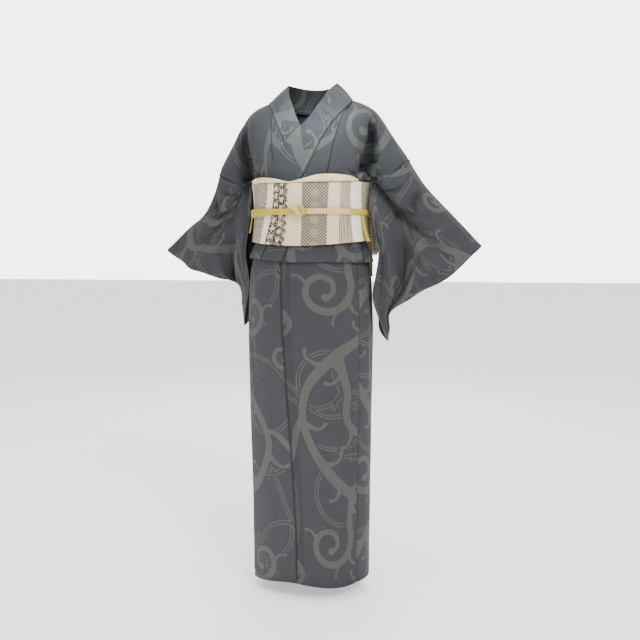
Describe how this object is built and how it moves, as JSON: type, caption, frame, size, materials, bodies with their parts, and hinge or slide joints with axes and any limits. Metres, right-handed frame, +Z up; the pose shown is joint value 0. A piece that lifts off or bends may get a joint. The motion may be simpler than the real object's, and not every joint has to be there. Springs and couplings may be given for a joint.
{
  "type": "unlined kimono",
  "caption": "Unlined wrap gown worn left over right, with hanging bag sleeves, a folded collar, a waist fold, and a wide sash tied in a square drum bow at the back.",
  "frame": {"origin": "the middle of the shoulder line at the base of the neck, where the wearer's shoulders carry the garment", "axes": "+Z up along the wearer's height, +X towards the wearer's left, -Y the way the wearer faces"},
  "size_m": [0.8869, 0.3471, 1.3291],
  "materials": {
    "kimono_cloth": "matt woven cloth, dark grey with a lighter grey scroll pattern",
    "sash_cloth": "firm woven cloth, cream with grey and tan stripes",
    "scarf_cloth": "soft crepe, pale yellow",
    "cord_braid": "flat silk braid, yellow"
  },
  "bodies": {
    "root": {"skirt_back_left": "kimono_cloth", "skirt_back_right": "kimono_cloth", "skirt_front_left": "kimono_cloth", "skirt_front_right": "kimono_cloth", "skirt_okumi_left": "kimono_cloth", "skirt_okumi_right": "kimono_cloth", "upper_left": "kimono_cloth", "upper_right": "kimono_cloth", "okumi_upper_left": "kimono_cloth", "okumi_upper_right": "kimono_cloth", "collar": "kimono_cloth", "sleeve_left": "kimono_cloth", "sleeve_right": "kimono_cloth", "obi_turns": "sash_cloth", "obi_drum": "sash_cloth", "obi_tail": "sash_cloth", "obi_hand": "sash_cloth", "obiage_front": "scarf_cloth", "obiage_pad": "scarf_cloth", "obijime": "cord_braid", "obijime_knot": "cord_braid", "obijime_end_left": "cord_braid", "obijime_end_right": "cord_braid"}
  },
  "joints": []
}
